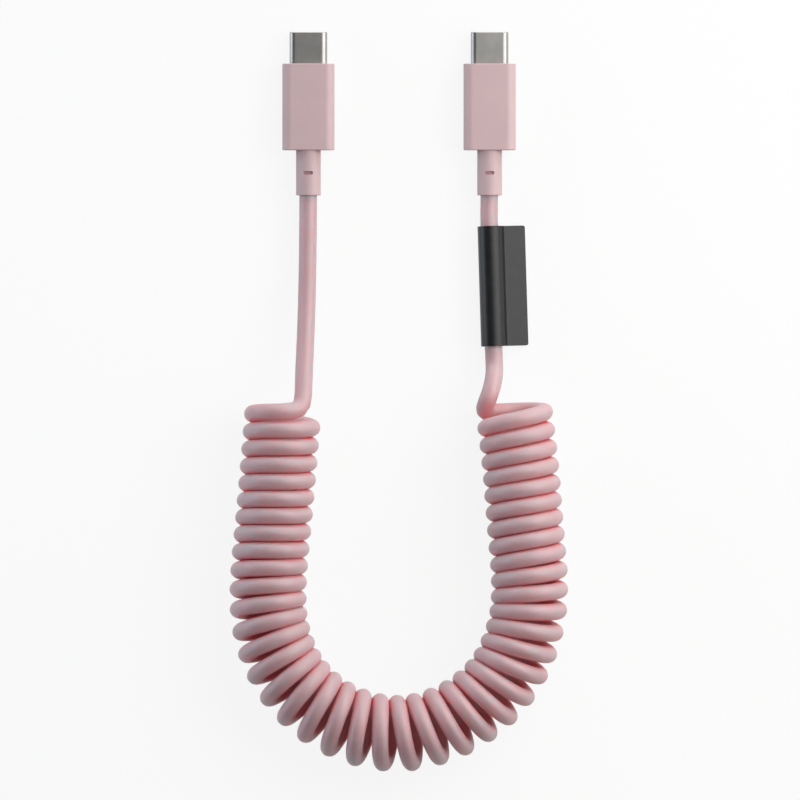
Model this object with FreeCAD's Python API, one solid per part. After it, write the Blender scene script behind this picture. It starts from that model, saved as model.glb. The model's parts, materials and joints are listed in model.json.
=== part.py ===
import FreeCAD, Part
import math
import os

# A coiled cable with a reversible plug at each end, lying flat on a table.
# X runs from plug a to plug b, Y points the way the plugs point, Z is up.
# The origin is on the table, midway between the plugs and at the middle of their length.

Vector = FreeCAD.Vector

# Driving dimensions, in millimetres and degrees.

# Nose of the plug
nose_width = 8.25
nose_height = 2.40
nose_reach = 6.95
shell_wall = 0.25
shell_lip_bevel = 0.12
shell_embed = 5.00
fit_clearance = 0.02

# Insulator and its mating slot
insulator_recess = 0.15
insulator_roof = 0.43
slot_side_wall = 0.48
slot_depth = 5.60
slot_lead_in = 0.15

# Contacts
contact_pitch = 0.50
contact_width = 0.25
contact_thickness = 0.12
contact_tail = 1.60
contact_beam_lift = 0.10
contact_bump = 0.19
contact_reach = 2.40
contact_bump_length = 0.50
contact_foot_length = 0.50
contact_rise_length = 0.50
contact_groove_room = 0.03
positions_per_row = 12
upper_positions = (0, 3, 4, 5, 6, 8, 11)
lower_positions = (0, 3, 7, 8, 11)

# Latch
latch_thickness = 0.15
latch_height = 0.70
latch_inset = 0.26
latch_hook = 0.40
latch_hook_length = 0.60
latch_hook_start = 0.10
latch_reach = 2.00
latch_bridge_length = 1.40
latch_clearance = 0.05

# Ground springs in the roof and floor of the mouth
emi_thickness = 0.10
emi_clearance = 0.02
emi_width = 6.00
emi_base_length = 0.80
emi_reach = 2.10
emi_finger_count = 4
emi_finger_pitch = 1.50
emi_finger_width = 0.90
emi_finger_length = 1.25
emi_finger_tip = 0.30
emi_finger_dip = 0.10

# Card, wires and rear shield
card_thickness = 0.60
card_length = 5.00
card_gap = 0.05
card_side_clearance = 0.35
card_corner_radius = 0.30
wire_diameter = 0.75
wire_pitch = 1.00
wire_lap = 1.20
upper_wire_count = 3
lower_wire_count = 2
wire_room = 1.95
shield_wall = 0.20
shield_overlap = 2.00
shield_tail_length = 1.20
shield_tail_width = 0.80
collar_length = 2.40

# Moulded body
mould_side_cover = 0.57
mould_cover = 0.16
mould_end = 2.07
mould_clearance = 0.05
housing_wall = 0.70
housing_front_wall = 0.80
housing_corner_radius = 2.00
housing_edge_bevel = 0.12
housing_clearance = 0.05

# Strain relief
relief_wall = 0.72
relief_grip = 0.05
relief_length = 9.91
relief_edge_bevel = 0.10
relief_flange = 1.20
relief_slot_width = 2.00
relief_slot_height = 0.75
relief_slot_depth = 0.45
relief_slot_place = 5.00

# Cord, curly stretch and layout
cord_diameter = 3.88
plug_spacing = 39.70
coil_diameter = 16.70
coil_bend_radius = 28.48
coil_centre_x = -0.30
coil_centre_y = -107.07
coil_leg_length = 41.66
coil_leg_lean = 3.90
arc_share = 0.45

# Tag on the right stretch
tag_wall = 0.52
tag_clearance = 0.34
tag_length = 26.30
tag_flag_width = 4.61
tag_valley_radius = 0.60
tag_seam = 0.04
tag_corner_radius = 0.50
tag_place_y = -37.80
tag_droop = 18.0

# Sizes that follow
nose_tip = nose_reach
shell_rear = -shell_embed
shell_inner_width = nose_width - 2 * shell_wall
shell_inner_height = nose_height - 2 * shell_wall
insulator_width = shell_inner_width - 2 * fit_clearance
insulator_height = shell_inner_height - 2 * fit_clearance
insulator_front = nose_tip - insulator_recess
slot_width = insulator_width - 2 * slot_side_wall
slot_height = insulator_height - 2 * insulator_roof
slot_end = insulator_front - slot_depth
contact_beam_z = slot_height / 2 + contact_beam_lift
contact_tail_z = card_thickness / 2 + contact_thickness / 2
contact_tip_y = nose_tip - contact_reach
groove_width = contact_width + 2 * contact_groove_room
groove_top = contact_beam_z + contact_thickness / 2 + fit_clearance
groove_floor = min(contact_tail_z, contact_beam_z) - contact_thickness / 2 - fit_clearance
latch_x = insulator_width / 2 - latch_inset - latch_thickness / 2
latch_tip_y = nose_tip - latch_reach
card_front = shell_rear - card_gap
card_rear = card_front - card_length
card_width = shell_inner_width - 2 * card_side_clearance
wire_rest = card_thickness / 2 + wire_diameter / 2 + fit_clearance
shield_inner_width = nose_width + 2 * fit_clearance
shield_inner_height = nose_height + 2 * fit_clearance
shield_width = shield_inner_width + 2 * shield_wall
shield_height = shield_inner_height + 2 * shield_wall
shield_front = shell_rear + shield_overlap
shield_rear = card_rear - wire_room
collar_front = shield_rear - shield_tail_length
collar_rear = collar_front - collar_length
collar_bore_radius = cord_diameter / 2 + fit_clearance
collar_radius = collar_bore_radius + shield_wall
mould_width = shield_width + 2 * (mould_clearance + mould_side_cover)
mould_height = 2 * (collar_radius + mould_clearance + mould_cover)
mould_front = -housing_front_wall - housing_clearance
mould_rear = collar_rear - mould_end
cavity_width = mould_width + 2 * housing_clearance
cavity_height = mould_height + 2 * housing_clearance
cavity_corner_radius = housing_corner_radius - housing_wall
mould_corner_radius = cavity_corner_radius - housing_clearance
housing_width = cavity_width + 2 * housing_wall
housing_thickness = cavity_height + 2 * housing_wall
flange_front = mould_rear - housing_clearance
housing_rear = flange_front - relief_flange
relief_rear = housing_rear - relief_length
relief_bore_radius = cord_diameter / 2 + relief_grip
relief_radius = relief_bore_radius + relief_wall
plug_axis_z = housing_thickness / 2
plug_y = (-nose_tip - relief_rear) / 2
cord_end_y = plug_y + collar_front - fit_clearance
relief_end_y = plug_y + relief_rear
coil_axis_z = coil_diameter / 2
plug_places = {"a": -plug_spacing / 2, "b": plug_spacing / 2}

# Routes of the two stretches that are not coiled, chosen by hand, from the plug to the coil's end face.
cord_route_a = [
    Vector(plug_places["a"], cord_end_y, plug_axis_z),
    Vector(plug_places["a"], -21.20, plug_axis_z),
    Vector(-20.10, -41.00, 4.30),
    Vector(-20.75, -54.50, 8.20),
    Vector(-21.25, -64.50, 12.00),
]
cord_route_b = [
    Vector(plug_places["b"], cord_end_y, plug_axis_z),
    Vector(plug_places["b"], -20.00, plug_axis_z),
    Vector(20.90, -54.60, 3.70),
    Vector(20.85, -58.40, 4.10),
    Vector(20.25, -61.50, 4.50),
    Vector(18.95, -65.00, 4.90),
]


def box(x_range, y_range, z_range):
    """A block between the given limits."""
    corner = Vector(x_range[0], y_range[0], z_range[0])
    return Part.makeBox(
        x_range[1] - x_range[0], y_range[1] - y_range[0], z_range[1] - z_range[0], corner)


def both_ways(reach):
    """Limits that lie evenly about zero."""
    return (-reach, reach)


def rounded_outline(width, height, radius, y):
    """A closed outline with four round corners, in a plane across the plug."""
    flat_x = width / 2 - radius
    flat_z = height / 2 - radius
    centres = [(flat_x, flat_z), (-flat_x, flat_z), (-flat_x, -flat_z), (flat_x, -flat_z)]
    edges = []
    for corner, (centre_x, centre_z) in enumerate(centres):
        angles = [math.radians(90 * corner + part) for part in (0, 45, 90)]
        start, middle, end = [
            Vector(centre_x + radius * math.cos(a), y, centre_z + radius * math.sin(a)) for a in angles]
        if edges and edges[-1].Vertexes[-1].Point.distanceToPoint(start) > fit_clearance:
            edges.append(Part.makeLine(edges[-1].Vertexes[-1].Point, start))
        edges.append(Part.Arc(start, middle, end).toShape())
    first = edges[0].Vertexes[0].Point
    last = edges[-1].Vertexes[-1].Point
    if last.distanceToPoint(first) > fit_clearance:
        edges.append(Part.makeLine(last, first))
    return Part.Wire(edges)


def rounded_prism(width, height, radius, y_rear, y_front):
    """A bar along the plug with four round corners."""
    outline = rounded_outline(width, height, radius, y_rear)
    return Part.Face(outline).extrude(Vector(0, y_front - y_rear, 0))


def stadium_prism(width, height, y_rear, y_front):
    """A bar along the plug whose two sides are half circles."""
    return rounded_prism(width, height, height / 2, y_rear, y_front)


def rod(radius, y_rear, y_front, x=0.0, z=0.0):
    """A round bar along the plug."""
    return Part.makeCylinder(radius, y_front - y_rear, Vector(x, y_rear, z), Vector(0, 1, 0))


def edges_at(shape, y):
    """The edges of a shape that lie in one plane across the plug."""
    plane_edges = []
    for edge in shape.Edges:
        limits = edge.BoundBox
        if abs(limits.YMin - y) < fit_clearance / 2 and abs(limits.YMax - y) < fit_clearance / 2:
            plane_edges.append(edge)
    return plane_edges


def bent_strip(points, thickness, x_from, x_to):
    """A flat spring: a bent centre line, given as (y, z) points, with a thickness and a width along X."""
    upper = [Vector(x_from, y, z + thickness / 2) for y, z in points]
    lower = [Vector(x_from, y, z - thickness / 2) for y, z in reversed(points)]
    outline = Part.makePolygon(upper + lower + upper[:1])
    return Part.Face(outline).extrude(Vector(x_to - x_from, 0, 0))


def upside_down(shape):
    """The same shape on the other side of the plug's middle plane."""
    return shape.mirror(Vector(0, 0, 0), Vector(0, 0, 1))


def position_x(index):
    """The place of a contact position across the plug."""
    return (index - (positions_per_row - 1) / 2) * contact_pitch


def finger_x(index):
    """The place of a ground spring's finger across the plug."""
    return (index - (emi_finger_count - 1) / 2) * emi_finger_pitch


def nose_shell():
    outer = stadium_prism(nose_width, nose_height, shell_rear, nose_tip)
    outer = outer.makeChamfer(shell_lip_bevel, edges_at(outer, nose_tip))
    return outer.cut(stadium_prism(shell_inner_width, shell_inner_height, shell_rear, nose_tip))


def insulator():
    block = stadium_prism(insulator_width, insulator_height, shell_rear, insulator_front)
    block = block.cut(box(both_ways(slot_width / 2), (slot_end, insulator_front), both_ways(slot_height / 2)))
    block = block.cut(slot_mouth())
    block = block.cut(latch_channel())
    grooves = [contact_groove(index) for index in upper_positions]
    grooves += [upside_down(contact_groove(index)) for index in lower_positions]
    return block.cut(grooves + [emi_pocket(), upside_down(emi_pocket())])


def slot_mouth():
    """The widening at the mouth of the mating slot."""
    outlines = []
    for y, growth in ((insulator_front - slot_lead_in, 0), (insulator_front, slot_lead_in)):
        half_x = slot_width / 2 + growth
        half_z = slot_height / 2 + growth
        corners = [Vector(half_x, y, half_z), Vector(-half_x, y, half_z),
                   Vector(-half_x, y, -half_z), Vector(half_x, y, -half_z)]
        outlines.append(Part.makePolygon(corners + corners[:1]))
    return Part.makeLoft(outlines, True, True)


def latch_channel():
    """The room for the latch: a side channel for each arm and a flat pocket for the bridge."""
    arm_y = (shell_rear, latch_tip_y + latch_clearance)
    arm_outer = latch_x + latch_thickness / 2 + latch_clearance
    arms = box(both_ways(arm_outer), arm_y, both_ways(latch_height / 2 + latch_clearance))
    arm_inner = latch_x - latch_thickness / 2 - latch_clearance
    arms = arms.cut(box(both_ways(arm_inner), (shell_rear, slot_end), both_ways(latch_height)))
    bridge_y = (shell_rear, latch_bridge_front() + latch_clearance)
    bridge = box(both_ways(arm_outer), bridge_y, both_ways(latch_thickness / 2 + fit_clearance))
    return arms.fuse(bridge)


def latch_bridge_front():
    return shell_rear + latch_clearance + latch_bridge_length


def contact_groove(index):
    x = position_x(index)
    x_range = (x - groove_width / 2, x + groove_width / 2)
    return box(x_range, (shell_rear, contact_tip_y + latch_clearance), (groove_floor, groove_top))


def contact_row(indexes):
    """Spring contacts side by side: tail on the card, beam in its groove, bump in the slot."""
    bump_z = slot_height / 2 - contact_bump
    bump_y = contact_tip_y - contact_bump_length
    foot_y = shell_rear + contact_foot_length
    profile = [
        (shell_rear - contact_tail, contact_tail_z),
        (foot_y, contact_tail_z),
        (foot_y + contact_rise_length, contact_beam_z),
        (slot_end, contact_beam_z),
        (bump_y, bump_z + contact_thickness / 2),
        (contact_tip_y, slot_height / 2),
    ]
    row = []
    for index in indexes:
        x = position_x(index)
        row.append(bent_strip(profile, contact_thickness, x - contact_width / 2, x + contact_width / 2))
    return Part.makeCompound(row)


def latch():
    """A flat bridge with an upright arm at each side, hooked inwards near its tip."""
    bridge_y = (shell_rear + latch_clearance, latch_bridge_front())
    spring = box(both_ways(latch_x), bridge_y, both_ways(latch_thickness / 2))
    hook_y = latch_tip_y - latch_hook_length
    line = [
        (latch_x, bridge_y[0]),
        (latch_x, slot_end),
        (latch_x - latch_hook_start, hook_y - latch_hook_length),
        (latch_x - latch_hook, hook_y),
        (latch_x, latch_tip_y),
    ]
    outer = [Vector(x + latch_thickness / 2, y, -latch_height / 2) for x, y in line]
    inner = [Vector(x - latch_thickness / 2, y, -latch_height / 2) for x, y in reversed(line)]
    arm = Part.Face(Part.makePolygon(outer + inner + outer[:1])).extrude(Vector(0, 0, latch_height))
    other_arm = arm.mirror(Vector(0, 0, 0), Vector(1, 0, 0))
    return spring.fuse([arm, other_arm])


def emi_base_limits():
    front = nose_tip - emi_reach
    return (front - emi_base_length, front)


def emi_pocket():
    """The recess for a ground spring's base, and the windows for its fingers."""
    rear, front = emi_base_limits()
    floor = insulator_height / 2 - emi_thickness - emi_clearance
    x_range = both_ways(emi_width / 2 + emi_clearance)
    top = nose_height / 2
    pocket = box(x_range, (rear - emi_clearance, front + emi_clearance), (floor, top))
    windows = []
    window_y = (front, front + emi_finger_length + latch_clearance)
    for index in range(emi_finger_count):
        x = finger_x(index)
        half = emi_finger_width / 2 + latch_clearance
        windows.append(box((x - half, x + half), window_y, (0, top)))
    return pocket.fuse(windows)


def emi_spring():
    """A base strip on the insulator's roof with a row of fingers that dip into the slot."""
    rear, front = emi_base_limits()
    z = insulator_height / 2 - emi_clearance / 2 - emi_thickness / 2
    low = slot_height / 2 - emi_finger_dip + emi_thickness / 2
    spring = bent_strip([(rear, z), (front, z)], emi_thickness, -emi_width / 2, emi_width / 2)
    tip_y = front + emi_finger_length
    finger = [(front, z), (tip_y - emi_finger_tip, low), (tip_y, slot_height / 2 + emi_finger_dip)]
    fingers = []
    for index in range(emi_finger_count):
        x = finger_x(index)
        fingers.append(bent_strip(finger, emi_thickness, x - emi_finger_width / 2, x + emi_finger_width / 2))
    return spring.fuse(fingers)


def paddle_card():
    card = box(both_ways(card_width / 2), (card_rear, card_front), both_ways(card_thickness / 2))
    upright = [edge for edge in card.Edges if edge.BoundBox.ZLength > card_thickness / 2]
    return card.makeFillet(card_corner_radius, upright)


def wires():
    """Conductors that leave the cord's end and lie on the two sides of the card."""
    group = []
    for count, z in ((upper_wire_count, wire_rest), (lower_wire_count, -wire_rest)):
        for index in range(count):
            x = (index - (count - 1) / 2) * wire_pitch
            group.append(rod(wire_diameter / 2, collar_front, card_rear + wire_lap, x, z))
    return Part.makeCompound(group)


def rear_shield():
    """A can on the rear of the nose, with a tail that carries the crimp collar."""
    can = stadium_prism(shield_width, shield_height, shield_rear, shield_front)
    can = can.cut(stadium_prism(shield_inner_width, shield_inner_height, shield_rear, shield_front))
    collar = rod(collar_radius, collar_rear, collar_front)
    collar = collar.cut(rod(collar_bore_radius, collar_rear, collar_front))
    tail_line = [
        (shield_rear, -shield_height / 2 + shield_wall / 2),
        (collar_front, -collar_radius + shield_wall / 2),
    ]
    tail = bent_strip(tail_line, shield_wall, -shield_tail_width / 2, shield_tail_width / 2)
    return can.fuse([tail, collar])


def inner_mould():
    """The block moulded over the nose's rear, the can, the wires and the collar."""
    block = rounded_prism(mould_width, mould_height, mould_corner_radius, mould_rear, mould_front)
    room = 2 * mould_clearance
    can = stadium_prism(shield_width + room, shield_height + room, shield_rear - mould_clearance, mould_front)
    collar = rod(collar_radius + mould_clearance, collar_rear - mould_clearance, shield_rear)
    cord = rod(cord_diameter / 2 + mould_clearance, mould_rear, collar_rear)
    return block.cut([can, collar, cord])


def housing():
    """The outer sleeve: closed at the front but for the nose, open at the rear."""
    sleeve = rounded_prism(housing_width, housing_thickness, housing_corner_radius, housing_rear, 0)
    sleeve = sleeve.makeChamfer(housing_edge_bevel, edges_at(sleeve, 0) + edges_at(sleeve, housing_rear))
    cavity = rounded_prism(
        cavity_width, cavity_height, cavity_corner_radius, housing_rear, -housing_front_wall)
    opening = stadium_prism(
        nose_width + 2 * fit_clearance, nose_height + 2 * fit_clearance, -housing_front_wall, 0)
    return sleeve.cut(cavity).cut(opening)


def strain_relief():
    """A soft sleeve on the cord, with a flange in the housing's rear and a slot sunk in front and back."""
    sleeve = rod(relief_radius, relief_rear, housing_rear)
    sleeve = sleeve.makeChamfer(relief_edge_bevel, edges_at(sleeve, relief_rear))
    flange = rounded_prism(mould_width, mould_height, mould_corner_radius, housing_rear, flange_front)
    bore = rod(relief_bore_radius, relief_rear, flange_front)
    return sleeve.fuse(flange).cut([bore, relief_slot(), upside_down(relief_slot())])


def relief_slot():
    end_radius = relief_slot_height / 2
    straight = relief_slot_width / 2 - end_radius
    y = housing_rear - relief_slot_place
    floor = relief_radius - relief_slot_depth
    middle = box(both_ways(straight), (y - end_radius, y + end_radius), (floor, relief_radius))
    ends = [Part.makeCylinder(end_radius, relief_slot_depth, Vector(x, y, floor)) for x in both_ways(straight)]
    return middle.fuse(ends)


def route_edges(points, name):
    """Straight runs joined by arcs as large as their runs allow. Prints the radii."""
    edges = []
    radii = []
    at = points[0]
    for before, corner, after in zip(points, points[1:], points[2:]):
        back = (before - corner).normalize()
        ahead = (after - corner).normalize()
        turn = math.pi - back.getAngle(ahead)
        shorter = min((before - corner).Length, (after - corner).Length)
        set_back = arc_share * shorter
        radius = set_back / math.tan(turn / 2)
        start = corner + back * set_back
        end = corner + ahead * set_back
        inward = (back + ahead).normalize()
        middle = corner + inward * (radius / math.cos(turn / 2) - radius)
        edges.append(Part.LineSegment(at, start).toShape())
        edges.append(Part.Arc(start, middle, end).toShape())
        radii.append(round(radius, 1))
        at = end
    edges.append(Part.LineSegment(at, points[-1]).toShape())
    print(name, "arc radii", radii)
    return edges


def cord_stretch(points, name, coil_face):
    """A plain tube along a route, cut off where it meets the curly stretch."""
    path = Part.Wire(route_edges(points, name))
    circle = Part.makeCircle(cord_diameter / 2, points[0], (points[1] - points[0]).normalize())
    tube = path.makePipeShell([Part.Wire(circle)], True, False)
    expected = math.pi * cord_diameter ** 2 / 4 * path.Length
    print(name, "length", round(path.Length, 2), "volume share", round(tube.Volume / expected, 4))
    return tube.cut(coil_face)


def coil_leg(side, length, radius):
    """One straight leg of the curly stretch, from the bend up. Side is -1 at the left and 1 at the right."""
    lean = math.radians(coil_leg_lean)
    foot = Vector(
        coil_centre_x + side * coil_bend_radius * math.cos(lean),
        coil_centre_y + coil_bend_radius * math.sin(lean),
        coil_axis_z)
    up = Vector(-side * math.sin(lean), math.cos(lean), 0)
    return foot, up, Part.makeCylinder(radius, length, foot, up)


def coil_face_cutter(side):
    """A wide leg, whose end face trims the cord that meets the curly stretch."""
    return coil_leg(side, coil_leg_length, coil_diameter)[2]


def coil():
    """The curly stretch as one fat tube: two legs and a round bend."""
    foot, up, left_leg = coil_leg(-1, coil_leg_length, coil_diameter / 2)
    right_leg = coil_leg(1, coil_leg_length, coil_diameter / 2)[2]
    section = Part.Face(Part.Wire(Part.makeCircle(coil_diameter / 2, foot, up)))
    sweep = 180 + 2 * coil_leg_lean
    bend = section.revolve(Vector(coil_centre_x, coil_centre_y, coil_axis_z), Vector(0, 0, 1), sweep)
    return left_leg.fuse([bend, right_leg])


def tag_outline(radius, half_flag, valley_radius, flag_width):
    """A folded strip seen from its end: round about the cord, then two valleys, then the flat flag."""
    valley_z = half_flag + valley_radius
    valley_x = math.sqrt((radius + valley_radius) ** 2 - valley_z ** 2)
    share = radius / (radius + valley_radius)
    half_turn = math.atan2(valley_x, valley_z) / 2
    middle_x = valley_x - valley_radius * math.sin(half_turn)
    middle_z = valley_z - valley_radius * math.cos(half_turn)
    flag_end = valley_x + flag_width

    def point(x, z):
        return Vector(x, 0, z)

    edges = []
    for side in (1, -1):
        touch = point(valley_x * share, side * valley_z * share)
        foot = point(valley_x, side * half_flag)
        edges.append(Part.Arc(touch, point(middle_x, side * middle_z), foot).toShape())
        edges.append(Part.makeLine(foot, point(flag_end, side * half_flag)))
    edges.append(Part.makeLine(point(flag_end, half_flag), point(flag_end, -half_flag)))
    low_touch = point(valley_x * share, -valley_z * share)
    high_touch = point(valley_x * share, valley_z * share)
    edges.append(Part.Arc(low_touch, point(-radius, 0), high_touch).toShape())
    return Part.Wire(Part.__sortEdges__(edges))


def tag_placement():
    """The tag's own axis is the straight run of cord b that carries it. Its flag droops to the table."""
    run_start, run_end = cord_route_b[1], cord_route_b[2]
    along = (run_start - run_end).normalize()
    place = run_start + (run_end - run_start) * ((tag_place_y - run_start.y) / (run_end.y - run_start.y))
    across = (Vector(1, 0, 0) - along * along.x).normalize()
    level = FreeCAD.Rotation(across, along, across.cross(along), "YXZ")
    turned = FreeCAD.Rotation(along, tag_droop).multiply(level)
    print("tag place", place, "tag axis", along)
    return FreeCAD.Placement(place, turned)


def cord_tag():
    """A strip folded round the cord, with its two ends bonded into a flag."""
    bore_radius = cord_diameter / 2 + tag_clearance
    outer = tag_outline(bore_radius + tag_wall, tag_wall, tag_valley_radius, tag_flag_width)
    inner = tag_outline(bore_radius, tag_seam, tag_valley_radius + tag_wall - tag_seam, tag_seam)
    length = Vector(0, tag_length, 0)
    strip = Part.Face(outer).extrude(length).cut(Part.Face(inner).extrude(length))
    flag_end = strip.BoundBox.XMax
    corners = [edge for edge in strip.Edges
               if edge.BoundBox.XMin > flag_end - fit_clearance and edge.BoundBox.ZLength > tag_wall]
    strip = strip.makeFillet(tag_corner_radius, corners)
    strip.translate(Vector(0, -tag_length / 2, 0))
    strip.Placement = tag_placement().multiply(strip.Placement)
    return strip


def write(name, shape):
    """Checks a piece and writes it to its own file."""
    for solid in shape.Solids:
        if not solid.isValid() or solid.Volume <= 0:
            raise ValueError(name + " is not a sound solid")
    shape.exportStep(os.path.join("parts", name + ".step"))
    print(name, "solids", len(shape.Solids), "volume", round(shape.Volume, 3))


def plug_pieces():
    """The pieces of one plug in its own frame, with Y = 0 at the housing's front face."""
    return {
        "housing": housing(),
        "strain_relief": strain_relief(),
        "nose_shell": nose_shell(),
        "insulator": insulator(),
        "contacts_upper": contact_row(upper_positions),
        "contacts_lower": upside_down(contact_row(lower_positions)),
        "latch": latch(),
        "emi_spring_upper": emi_spring(),
        "emi_spring_lower": upside_down(emi_spring()),
        "paddle_card": paddle_card(),
        "rear_shield": rear_shield(),
        "inner_mould": inner_mould(),
        "wires": wires(),
    }


os.makedirs("parts", exist_ok=True)
for end, plug_x in plug_places.items():
    for piece_name, piece in plug_pieces().items():
        piece.translate(Vector(plug_x, plug_y, plug_axis_z))
        write(piece_name + "_" + end, piece)
write("cord_a", cord_stretch(cord_route_a, "cord_a", coil_face_cutter(-1)))
write("cord_b", cord_stretch(cord_route_b, "cord_b", coil_face_cutter(1)))
write("coil", coil())
write("cord_tag", cord_tag())
print("housing", round(housing_width, 3), round(housing_thickness, 3), round(-housing_rear, 3))
print("strain relief diameter", round(2 * relief_radius, 3), "plug axis height", round(plug_axis_z, 3))
print("plug frame at y", round(plug_y, 3), "cord leaves at y", round(relief_end_y, 3))
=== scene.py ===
import bisect
import json
import math

import bpy
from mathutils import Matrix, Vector


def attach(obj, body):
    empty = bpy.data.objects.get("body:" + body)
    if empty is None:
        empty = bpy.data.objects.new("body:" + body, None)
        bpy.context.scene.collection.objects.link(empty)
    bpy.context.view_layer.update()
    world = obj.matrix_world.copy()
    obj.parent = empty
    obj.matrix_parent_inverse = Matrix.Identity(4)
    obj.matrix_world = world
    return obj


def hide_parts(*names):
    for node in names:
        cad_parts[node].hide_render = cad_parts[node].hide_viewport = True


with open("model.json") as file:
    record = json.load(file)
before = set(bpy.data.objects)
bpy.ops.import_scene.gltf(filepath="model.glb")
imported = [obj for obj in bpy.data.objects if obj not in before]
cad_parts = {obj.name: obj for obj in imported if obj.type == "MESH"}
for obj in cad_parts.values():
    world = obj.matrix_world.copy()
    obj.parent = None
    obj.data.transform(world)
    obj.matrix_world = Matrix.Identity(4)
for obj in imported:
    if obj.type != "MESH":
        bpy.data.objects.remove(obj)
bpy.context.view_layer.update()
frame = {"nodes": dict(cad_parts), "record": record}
nodes = frame["nodes"]

MM = 0.001

# Plugs: their places left and right, their height, and where the cord ends and comes out, in mm.
PLUG_X = 19.85
PLUG_HEIGHT = 3.12
CORD_END_Y = -2.28

# Camera: straight above the cable, so far away that its lines of sight are nearly parallel.
CAMERA_PLACE = (0.22 * MM, -62.73 * MM, 4000 * MM)
VIEW_WIDTH = 175.3 * MM
VIEW_LEVEL = PLUG_HEIGHT * MM
SENSOR_MM = 36

# Floor: its width, how pale it is to the eye and to the light, and how much of it glows white by itself.
FLOOR_WIDTH = 8
FLOOR_SEEN = 0.95
FLOOR_UNSEEN = 0.50
WHITE_SHARE = 0.88

# Lamps: what they aim at, and the grey of the room round them.
LAMP_AIM = (0, -0.06, 0.01)
ROOM_GREY = 0.10

# Cord: its sizes, and how finely it is drawn along and round.
CORD_DIAMETER = 3.88 * MM
CORD_STEPS = 3
CORD_ROUNDNESS = 10

# Turns of the curly stretch. Their thickness is a share of the cord's, and 0 degrees is a turn's top.
HELIX_RADIUS = 6.62 * MM
CURL_THICKNESS = 0.943
TURNS_BETWEEN_ENDS = 41
FIRST_OUTER_END = 5.8 * MM
LAST_OUTER_END = 6.2 * MM
PITCH_LEG = 3.60 * MM
PITCH_BEND_GAIN = 1.40 * MM
PITCH_BEND_REACH = 38 * MM
PITCH_END_GAIN = 0.60 * MM
PITCH_END_REACH = 10 * MM
POINTS_PER_TURN = 16
HELIX_START_ANGLE = 0
HELIX_END_ANGLE = 200
OUTER_END_ANGLE = 90
TANGENT_REACH = 0.1
AXIS_STEPS = 64

# Axis that the turns go round, in mm, from the left top to the right top.
COIL_HEIGHT = 8.45
COIL_ROUTE = [
    (-25.0, -60.5, COIL_HEIGHT),
    (-27.0, -85.0, COIL_HEIGHT),
    (-29.0, -104.5, COIL_HEIGHT),
    (-28.0, -115.0, COIL_HEIGHT),
    (-23.0, -125.5, COIL_HEIGHT),
    (-13.0, -133.5, COIL_HEIGHT),
    (0.0, -136.5, COIL_HEIGHT),
    (12.5, -133.0, COIL_HEIGHT),
    (22.0, -125.5, COIL_HEIGHT),
    (27.0, -116.0, COIL_HEIGHT),
    (29.0, -105.5, COIL_HEIGHT),
    (27.5, -89.0, COIL_HEIGHT),
    (26.5, -75.0, COIL_HEIGHT),
    (24.5, -60.0, COIL_HEIGHT),
]

# Routes of the stretches that are not coiled, in mm, from each plug to the curly stretch.
ROUTE_A = [
    (-PLUG_X, CORD_END_Y, PLUG_HEIGHT),
    (-PLUG_X, -21.20, PLUG_HEIGHT),
    (-20.15, -41.00, 4.30),
    (-20.52, -50.50, 7.00),
    (-20.85, -58.50, 10.20),
    (-21.00, -64.90, 12.90),
]
ROUTE_B = [
    (PLUG_X, CORD_END_Y, PLUG_HEIGHT),
    (19.80, -18.00, PLUG_HEIGHT),
    (19.70, -26.00, 3.20),
    (20.70, -50.80, 3.63),
    (20.90, -55.00, 3.70),
    (20.90, -57.00, 5.00),
    (20.50, -59.50, 6.50),
    (19.50, -62.50, 7.50),
    (18.50, -65.00, 5.30),
    (20.00, -65.50, 2.70),
]

# Looks of the slots: two near shades, least and greatest roughness, grains per metre and their depth.
PINK_LOOKS = {
    "plug_body": ((0.63, 0.445, 0.455), (0.66, 0.465, 0.475), 0.50, 0.60, 9000, 0.010 * MM),
    "soft_sleeve": ((0.63, 0.445, 0.455), (0.66, 0.465, 0.475), 0.52, 0.62, 9000, 0.010 * MM),
    "cord_jacket": ((0.55, 0.42, 0.44), (0.58, 0.44, 0.46), 0.42, 0.52, 7000, 0.010 * MM),
}
METAL_LOOKS = {
    "nose_steel": ((0.42, 0.41, 0.395), (0.48, 0.47, 0.455), 0.32, 0.42, 14000, 0.006 * MM),
    "contact_gold": ((0.80, 0.55, 0.20), (0.90, 0.66, 0.30), 0.18, 0.28, 14000, 0.004 * MM),
    "spring_steel": ((0.50, 0.49, 0.47), (0.60, 0.59, 0.57), 0.22, 0.34, 14000, 0.004 * MM),
    "shield_steel": ((0.48, 0.48, 0.47), (0.58, 0.58, 0.56), 0.30, 0.42, 9000, 0.006 * MM),
}
PLAIN_LOOKS = {
    "insulator": ((0.010, 0.010, 0.011), (0.018, 0.018, 0.020), 0.40, 0.50, 9000, 0.006 * MM),
    "circuit_board": ((0.010, 0.070, 0.030), (0.020, 0.120, 0.050), 0.35, 0.45, 3000, 0.010 * MM),
    "inner_mould": ((0.62, 0.60, 0.54), (0.72, 0.70, 0.64), 0.45, 0.55, 5000, 0.010 * MM),
    "wire_jacket": ((0.50, 0.05, 0.04), (0.60, 0.08, 0.06), 0.40, 0.50, 5000, 0.006 * MM),
    "tag_rubber": ((0.008, 0.008, 0.009), (0.012, 0.012, 0.013), 0.34, 0.42, 9000, 0.008 * MM),
}
SHADE_POSITIONS = (0.3, 0.7)
GRAIN_DETAIL = 2.0

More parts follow.
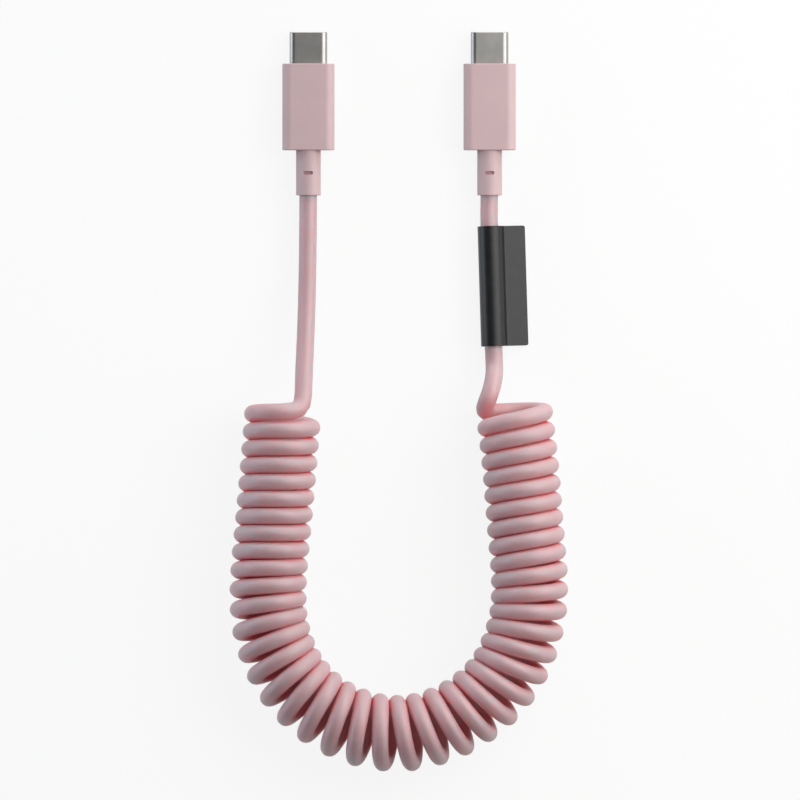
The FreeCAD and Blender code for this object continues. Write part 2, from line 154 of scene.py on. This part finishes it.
# Painted shade in gaps: its deeper colours, how far apart a gap's sides may be and how many rays find a
# gap; and how far light goes inside the cord.
# Painted shade in the strain relief's slot: a dark red where the slot's walls shade its floor.
SLEEVE_PAINTED_SHADE = (0.30, 0.01, 0.02)
SLEEVE_PAINTED_SHADE_REACH = 1.2 * MM
# Painted shade and painted red bounce light between the cord's turns: a deeper, redder pink where turns
# come close.
CORD_PAINTED_SHADE_AND_BOUNCE = (0.95, 0.31, 0.33)
CORD_PAINTED_SHADE_REACH = 9 * MM
PAINTED_SHADE_SAMPLES = 6
LIGHT_REACH = 6 * MM
LIGHT_REACH_OF_COLOURS = (1.0, 0.10, 0.10)


# Cord and its helix

def in_metres(route):
    return [Vector(point) * MM for point in route]


def smooth_curve(name, points):
    """An open curve with these control points."""
    curve = bpy.data.curves.new(name, "CURVE")
    curve.dimensions = "3D"
    spline = curve.splines.new("NURBS")
    spline.points.add(len(points) - 1)
    for control, point in zip(spline.points, points):
        control.co = (*point, 1)
    spline.order_u = 3
    spline.use_endpoint_u = True
    return curve


def coil_axis():
    """Points along the middle of the curly stretch, and their distances along it."""
    curve = smooth_curve("coil_axis", in_metres(COIL_ROUTE))
    curve.splines[0].resolution_u = AXIS_STEPS
    carrier = bpy.data.objects.new("coil_axis", curve)
    axis = [vertex.co.copy() for vertex in bpy.data.meshes.new_from_object(carrier).vertices]
    bpy.data.objects.remove(carrier)
    places = [0.0]
    for before, after in zip(axis, axis[1:]):
        places.append(places[-1] + (after - before).length)
    return axis, places


def between(keys, values, key):
    """The value at a key, on the line between its two neighbours."""
    at = min(max(bisect.bisect(keys, key), 1), len(keys) - 1)
    share = (key - keys[at - 1]) / (keys[at] - keys[at - 1])
    return values[at - 1] + (values[at] - values[at - 1]) * share


def pitch(place, length):
    """The distance from turn to turn: wider in the bend and at the two ends."""
    from_middle = abs(place - length / 2)
    bend = math.exp(-(from_middle / PITCH_BEND_REACH) ** 2)
    end = math.exp((from_middle - length / 2) / PITCH_END_REACH)
    return PITCH_LEG + PITCH_BEND_GAIN * bend + PITCH_END_GAIN * end


def turns_along(places):
    """The turns made at each place along the axis, counted from the first outer end."""
    turns = [0.0]
    for before, after in zip(places, places[1:]):
        turns.append(turns[-1] + (after - before) / pitch((before + after) / 2, places[-1]))
    first = between(places, turns, FIRST_OUTER_END)
    last = between(places, turns, places[-1] - LAST_OUTER_END)
    return [(turn - first) * TURNS_BETWEEN_ENDS / (last - first) for turn in turns]


def helix_points():
    """Control points of the curly stretch, a little outside the line that they draw."""
    axis, places = coil_axis()
    turns = turns_along(places)
    step = 360 / POINTS_PER_TURN
    control_radius = HELIX_RADIUS / math.cos(math.radians(step / 2))
    sweep = 360 * TURNS_BETWEEN_ENDS + HELIX_END_ANGLE - HELIX_START_ANGLE
    up = Vector((0, 0, 1))
    points = []
    for index in range(round(sweep / step) + 1):
        angle = HELIX_START_ANGLE + index * step
        turn = (angle - OUTER_END_ANGLE) / 360
        along = between(turns, axis, turn + TANGENT_REACH) - between(turns, axis, turn - TANGENT_REACH)
        outward = along.cross(up).normalized()
        ray = up * math.cos(math.radians(angle)) + outward * math.sin(math.radians(angle))
        points.append(between(turns, axis, turn) + ray * control_radius)
    return points


def make_cord():
    """One curve for the whole cord: the left stretch, the turns and the right stretch."""
    helix = helix_points()
    curve = smooth_curve("cord", in_metres(ROUTE_A) + helix + in_metres(reversed(ROUTE_B)))
    spline = curve.splines[0]
    for control in spline.points[len(ROUTE_A):len(ROUTE_A) + len(helix)]:
        control.radius = CURL_THICKNESS
    spline.resolution_u = CORD_STEPS
    curve.bevel_depth = CORD_DIAMETER / 2
    curve.bevel_resolution = CORD_ROUNDNESS
    curve.use_fill_caps = True
    cord = bpy.data.objects.new("cord", curve)
    bpy.context.scene.collection.objects.link(cord)
    return cord


# Materials

def shader_inputs(made):
    return made.node_tree.nodes["Principled BSDF"].inputs


def noise(made, scale, detail=3.0):
    """Noise fixed to the object, in cycles per metre."""
    tree = made.node_tree
    place = tree.nodes.new("ShaderNodeTexCoord")
    texture = tree.nodes.new("ShaderNodeTexNoise")
    texture.inputs["Scale"].default_value = scale
    texture.inputs["Detail"].default_value = detail
    tree.links.new(place.outputs["Object"], texture.inputs["Vector"])
    return texture.outputs["Fac"]


def vary_colour(made, factor, low, high):
    """Colour that wanders between two near shades."""
    tree = made.node_tree
    ramp = tree.nodes.new("ShaderNodeValToRGB")
    for element, position, shade in zip(ramp.color_ramp.elements, SHADE_POSITIONS, (low, high)):
        element.position = position
        element.color = (*shade, 1)
    tree.links.new(factor, ramp.inputs["Fac"])
    tree.links.new(ramp.outputs["Color"], shader_inputs(made)["Base Color"])


def vary_roughness(made, factor, low, high):
    tree = made.node_tree
    span = tree.nodes.new("ShaderNodeMapRange")
    span.inputs["To Min"].default_value = low
    span.inputs["To Max"].default_value = high
    tree.links.new(factor, span.inputs["Value"])
    tree.links.new(span.outputs["Result"], shader_inputs(made)["Roughness"])


def grain(made, factor, depth, strength):
    """Fine relief in the surface."""
    tree = made.node_tree
    bump = tree.nodes.new("ShaderNodeBump")
    bump.inputs["Distance"].default_value = depth
    bump.inputs["Strength"].default_value = strength
    tree.links.new(factor, bump.inputs["Height"])
    tree.links.new(bump.outputs["Normal"], shader_inputs(made)["Normal"])


def surface(name, look, colour_scale, rough_scale, strength, metallic=0.0):
    """A material with the look of its slot. The scales are changes per metre."""
    low, high, rough_low, rough_high, grain_scale, grain_depth = look
    made = bpy.data.materials.new(name)
    made.use_nodes = True
    shader_inputs(made)["Roughness"].default_value = rough_high
    shader_inputs(made)["Metallic"].default_value = metallic
    vary_colour(made, noise(made, colour_scale), low, high)
    vary_roughness(made, noise(made, rough_scale), rough_low, rough_high)
    grain(made, noise(made, grain_scale, GRAIN_DETAIL), grain_depth, strength)
    return made


def pink_plastic(name, look):
    """Matt moulded plastic or rubber in pale pink."""
    made = surface(name, look, colour_scale=160, rough_scale=900, strength=0.5)
    shader_inputs(made)["Specular IOR Level"].default_value = 1.0
    return made


def metal(name, look):
    return surface(name, look, colour_scale=400, rough_scale=2500, strength=0.6, metallic=1.0)


def plain_plastic(name, look):
    return surface(name, look, colour_scale=500, rough_scale=1500, strength=0.5)


def paint_gap_shade(made, colour, reach):
    """Painted shade: a deeper colour mixed in where the surface comes close to itself, as between turns or
    in a slot.
    """
    tree = made.node_tree
    base = shader_inputs(made)["Base Color"]
    painted_shade_mask = tree.nodes.new("ShaderNodeAmbientOcclusion")
    painted_shade_mask.only_local = True
    painted_shade_mask.samples = PAINTED_SHADE_SAMPLES
    painted_shade_mask.inputs["Distance"].default_value = reach
    # The occlusion decides where the painted shade goes: the more closed in, the more of the painted
    # colour.
    mix = tree.nodes.new("ShaderNodeMix")
    mix.data_type = "RGBA"
    openness, painted_shade_colour, open_colour = mix.inputs[0], mix.inputs[6], mix.inputs[7]
    mixed_colour = mix.outputs[2]
    painted_shade_colour.default_value = (*colour, 1)
    tree.links.new(base.links[0].from_socket, open_colour)
    tree.links.new(painted_shade_mask.outputs["AO"], openness)
    tree.links.new(mixed_colour, base)


def let_light_in(made):
    """Light spreads under the skin of the soft cord, red furthest."""
    inputs = shader_inputs(made)
    inputs["Subsurface Weight"].default_value = 1.0
    inputs["Subsurface Radius"].default_value = LIGHT_REACH_OF_COLOURS
    inputs["Subsurface Scale"].default_value = LIGHT_REACH


def make_materials():
    """One material for each slot of the record."""
    made = {}
    for make, looks in ((pink_plastic, PINK_LOOKS), (metal, METAL_LOOKS), (plain_plastic, PLAIN_LOOKS)):
        for slot, look in looks.items():
            made[slot] = make(slot, look)
    # Painted shade in the sleeve's slot, and painted shade and red bounce light between the cord's turns.
    paint_gap_shade(made["soft_sleeve"], SLEEVE_PAINTED_SHADE, SLEEVE_PAINTED_SHADE_REACH)
    paint_gap_shade(made["cord_jacket"], CORD_PAINTED_SHADE_AND_BOUNCE, CORD_PAINTED_SHADE_REACH)
    let_light_in(made["cord_jacket"])
    return made


def dress(node, slot_material):
    node.data.materials.clear()
    node.data.materials.append(slot_material)


# Stage

def calculate(tree, operation, *values):
    """The result of a math node on sockets and numbers."""
    node = tree.nodes.new("ShaderNodeMath")
    node.operation = operation
    for socket, value in zip(node.inputs, values):
        if isinstance(value, bpy.types.NodeSocket):
            tree.links.new(value, socket)
        else:
            socket.default_value = value
    return node.outputs[0]


def make_floor():
    """A white floor for the eye and for reflections, and a plain one for the light."""
    bpy.ops.mesh.primitive_plane_add(size=FLOOR_WIDTH)
    floor = bpy.context.object
    floor.name = "floor"
    made = bpy.data.materials.new("floor")
    made.use_nodes = True
    tree = made.node_tree
    tree.nodes.clear()
    output = tree.nodes.new("ShaderNodeOutputMaterial")
    path = tree.nodes.new("ShaderNodeLightPath")
    plain = tree.nodes.new("ShaderNodeBsdfDiffuse")
    white = tree.nodes.new("ShaderNodeEmission")
    mix = tree.nodes.new("ShaderNodeMixShader")
    to_eye = path.outputs["Is Camera Ray"]
    paleness = calculate(tree, "MULTIPLY_ADD", to_eye, FLOOR_SEEN - FLOOR_UNSEEN, FLOOR_UNSEEN)
    seen = calculate(tree, "MAXIMUM", to_eye, path.outputs["Is Glossy Ray"])
    seen_through = calculate(tree, "MAXIMUM", seen, path.outputs["Is Transmission Ray"])
    share = calculate(tree, "MULTIPLY", seen_through, WHITE_SHARE)
    tree.links.new(paleness, plain.inputs["Color"])
    tree.links.new(share, mix.inputs["Fac"])
    tree.links.new(plain.outputs["BSDF"], mix.inputs[1])
    tree.links.new(white.outputs["Emission"], mix.inputs[2])
    tree.links.new(mix.outputs["Shader"], output.inputs["Surface"])
    floor.data.materials.append(made)


def make_lamp(name, place, size, power, colour):
    data = bpy.data.lights.new(name, "AREA")
    data.shape = "RECTANGLE"
    data.size, data.size_y = size
    data.energy = power
    data.color = colour
    lamp = bpy.data.objects.new(name, data)
    lamp.location = place
    lamp.rotation_euler = (Vector(LAMP_AIM) - Vector(place)).to_track_quat("-Z", "Y").to_euler()
    bpy.context.scene.collection.objects.link(lamp)


def make_lights():
    make_lamp("back", place=(0.10, 0.50, 0.14), size=(0.90, 0.26), power=2.3, colour=(1.0, 0.99, 0.98))
    make_lamp("right", place=(0.45, -0.02, 0.26), size=(0.70, 0.40), power=1.5, colour=(1.0, 0.985, 0.975))
    make_lamp("left", place=(-0.55, 0.0, 0.12), size=(1.00, 0.24), power=1.9, colour=(0.78, 0.89, 1.0))
    make_lamp("near", place=(0.16, 0.04, 0.24), size=(0.26, 0.26), power=0.42, colour=(1.0, 0.99, 0.98))
    world = bpy.data.worlds.new("studio")
    bpy.context.scene.world = world
    world.use_nodes = True
    background = world.node_tree.nodes["Background"]
    background.inputs["Color"].default_value = (ROOM_GREY, ROOM_GREY, ROOM_GREY, 1)


def make_camera():
    data = bpy.data.cameras.new("camera")
    data.sensor_width = SENSOR_MM
    data.lens = SENSOR_MM * (CAMERA_PLACE[2] - VIEW_LEVEL) / VIEW_WIDTH
    camera = bpy.data.objects.new("camera", data)
    camera.location = CAMERA_PLACE
    bpy.context.scene.collection.objects.link(camera)
    bpy.context.scene.camera = camera


# The dressed cable and its stage

materials = make_materials()
for subpart in frame["record"]["subparts"]:
    dress(nodes[subpart["node"]], materials[subpart["material_slot"]])

cord = make_cord()
cord.data.materials.append(materials["cord_jacket"])
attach(cord, "cable")
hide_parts("cord_a", "coil", "cord_b")

make_floor()
make_lights()
make_camera()
bpy.context.scene.view_settings.view_transform = "Standard"
